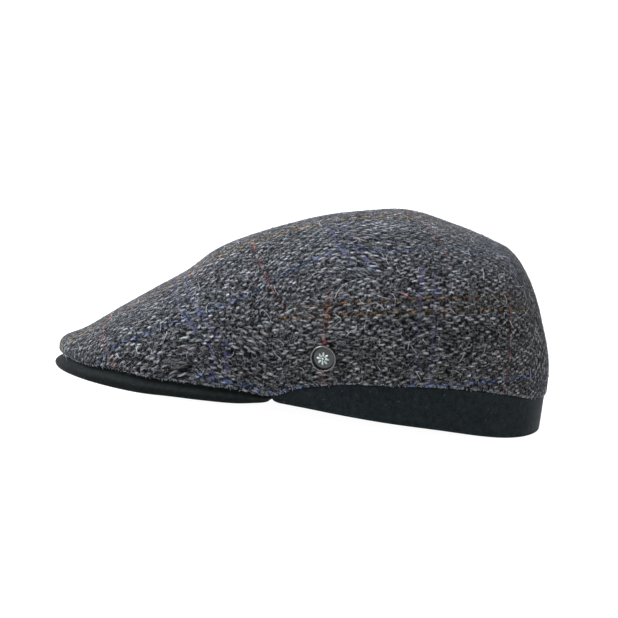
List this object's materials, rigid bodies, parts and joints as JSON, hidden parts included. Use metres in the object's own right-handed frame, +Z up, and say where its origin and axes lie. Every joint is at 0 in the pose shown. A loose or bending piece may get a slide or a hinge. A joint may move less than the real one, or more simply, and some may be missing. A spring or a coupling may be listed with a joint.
{
  "type": "flat cap",
  "caption": "Tweed flat cap with a hollow panelled crown, a dark cloth band, a curved peak with a rolled lip and a small round side badge.",
  "frame": {"origin": "centre of the cap's outline on the surface that it rests on", "axes": "+Z up, -Y towards the tip of the peak, +X towards the wearer's left, the side with the badge"},
  "size_m": [0.1768, 0.2746, 0.1105],
  "materials": {
    "tweed_top": "coarse charcoal and grey wool tweed with a blue, orange and red windowpane",
    "tweed_side": "the same tweed on the side panels, seen darker",
    "band_cloth": "fine dark slate twill",
    "peak_cloth": "fine dark slate twill over a stiff peak",
    "badge_metal": "polished",
    "badge_lacquer": "glossy black",
    "rosette_metal": "satin"
  },
  "bodies": {
    "root": {"crown_top": "tweed_top", "crown_side_left": "tweed_side", "crown_side_right": "tweed_side", "band": "band_cloth", "peak": "peak_cloth", "badge_rim": "badge_metal", "badge_face": "badge_lacquer", "badge_rosette": "rosette_metal"}
  },
  "joints": []
}
